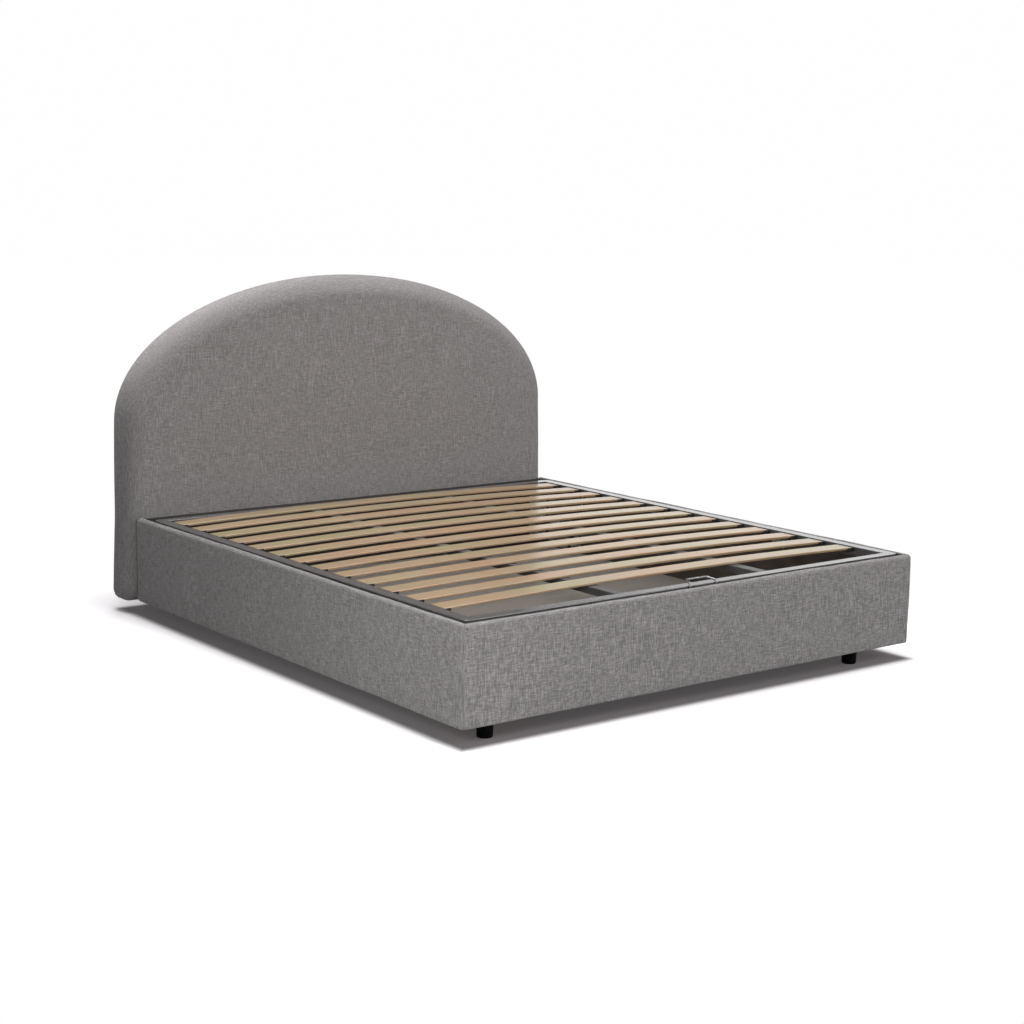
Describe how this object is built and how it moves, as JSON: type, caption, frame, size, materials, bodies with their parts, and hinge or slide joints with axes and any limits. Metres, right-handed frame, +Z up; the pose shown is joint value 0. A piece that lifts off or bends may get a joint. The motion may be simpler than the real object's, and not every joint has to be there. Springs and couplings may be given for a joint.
{
  "type": "double bed",
  "caption": "Upholstered double bed: arched padded headboard, covered rails and sprung slats on a steel frame that lifts on gas struts over a storage floor.",
  "frame": {"origin": "bottom centre of the whole bed, on the floor", "axes": "+X to the right seen from the foot, +Y towards the headboard, +Z up"},
  "size_m": [1.958, 2.196, 1.2328],
  "materials": {
    "grey_fabric": "heathered grey woven upholstery over thin foam",
    "dark_board": "dark grey-brown faced board, matt",
    "floor_board": "grey faced hardboard, satin",
    "timber": "planed softwood",
    "steel_tube": "dark grey paint, glossy enough to mirror a pale room at a low angle",
    "beech": "pale beech veneer, satin lacquer",
    "black_plastic": "moulded, fine texture",
    "zinc_steel": "zinc plated, satin",
    "pull_wire": "bent round rod, satin",
    "strut_black": "black paint, semi-gloss",
    "strut_chrome": "ground and plated",
    "pad_rubber": "soft black rubber"
  },
  "bodies": {
    "bed_base": {"centre_bearer": "zinc_steel", "centre_feet": "black_plastic", "corner_brackets": "zinc_steel", "corner_feet": "black_plastic", "end_battens": "timber", "floor_board_foot_left": "floor_board", "floor_board_foot_right": "floor_board", "floor_board_head_left": "floor_board", "floor_board_head_right": "floor_board", "foot_board": "dark_board", "foot_cover": "grey_fabric", "foot_plates": "timber", "frame_bolts": "zinc_steel", "head_panel": "dark_board", "headboard_back_board": "dark_board", "headboard_bolts": "zinc_steel", "headboard_cushion": "grey_fabric", "headboard_frame": "timber", "hinge_bracket_left": "zinc_steel", "hinge_bracket_right": "zinc_steel", "pivot_pins": "zinc_steel", "rest_brackets": "zinc_steel", "rest_pads": "pad_rubber", "retaining_rings": "zinc_steel", "side_battens": "timber", "side_board_left": "dark_board", "side_board_right": "dark_board", "side_cover_left": "grey_fabric", "side_cover_right": "grey_fabric", "strut_base_studs": "zinc_steel"},
    "platform": {"frame_tube_foot": "steel_tube", "frame_tube_head": "steel_tube", "frame_tube_inner_left": "steel_tube", "frame_tube_inner_right": "steel_tube", "frame_tube_left": "steel_tube", "frame_tube_right": "steel_tube", "lift_arm_left": "steel_tube", "lift_arm_right": "steel_tube", "pull_handle": "pull_wire", "slat_01": "beech", "slat_02": "beech", "slat_03": "beech", "slat_04": "beech", "slat_05": "beech", "slat_06": "beech", "slat_07": "beech", "slat_08": "beech", "slat_09": "beech", "slat_10": "beech", "slat_11": "beech", "slat_12": "beech", "slat_13": "beech", "slat_trays_left": "black_plastic", "slat_trays_right": "black_plastic", "strut_tip_studs": "zinc_steel"},
    "strut_cylinder_body_left": {"strut_cylinder_left": "strut_black"},
    "strut_rod_body_left": {"strut_rod_left": "strut_chrome"},
    "strut_cylinder_body_right": {"strut_cylinder_right": "strut_black"},
    "strut_rod_body_right": {"strut_rod_right": "strut_chrome"}
  },
  "joints": [
    {"name": "platform_lift", "type": "hinge", "parent": "bed_base", "child": "platform", "pos_m": [0, 0.847, 0.3], "axis": [-1, 0, 0], "range_deg": [0, 38]},
    {"name": "strut_swing_left", "type": "hinge", "parent": "bed_base", "child": "strut_cylinder_body_left", "pos_m": [-0.894, 0.70037, 0.11], "axis": [-1, 0, 0], "range_deg": [0, 19]},
    {"name": "strut_extend_left", "type": "slide", "parent": "strut_cylinder_body_left", "child": "strut_rod_body_left", "axis": [0, -0.4071, 0.9134], "range_m": [0, 0.1255]},
    {"name": "strut_swing_right", "type": "hinge", "parent": "bed_base", "child": "strut_cylinder_body_right", "pos_m": [0.894, 0.70037, 0.11], "axis": [-1, 0, 0], "range_deg": [0, 19]},
    {"name": "strut_extend_right", "type": "slide", "parent": "strut_cylinder_body_right", "child": "strut_rod_body_right", "axis": [0, -0.4071, 0.9134], "range_m": [0, 0.1255]}
  ],
  "couplings": [
    {"joint": "strut_swing_left", "follows": "platform_lift", "ratio": 0.5},
    {"joint": "strut_extend_left", "follows": "platform_lift", "m_per_rad": 0.18871},
    {"joint": "strut_swing_right", "follows": "platform_lift", "ratio": 0.5},
    {"joint": "strut_extend_right", "follows": "platform_lift", "m_per_rad": 0.18871}
  ]
}
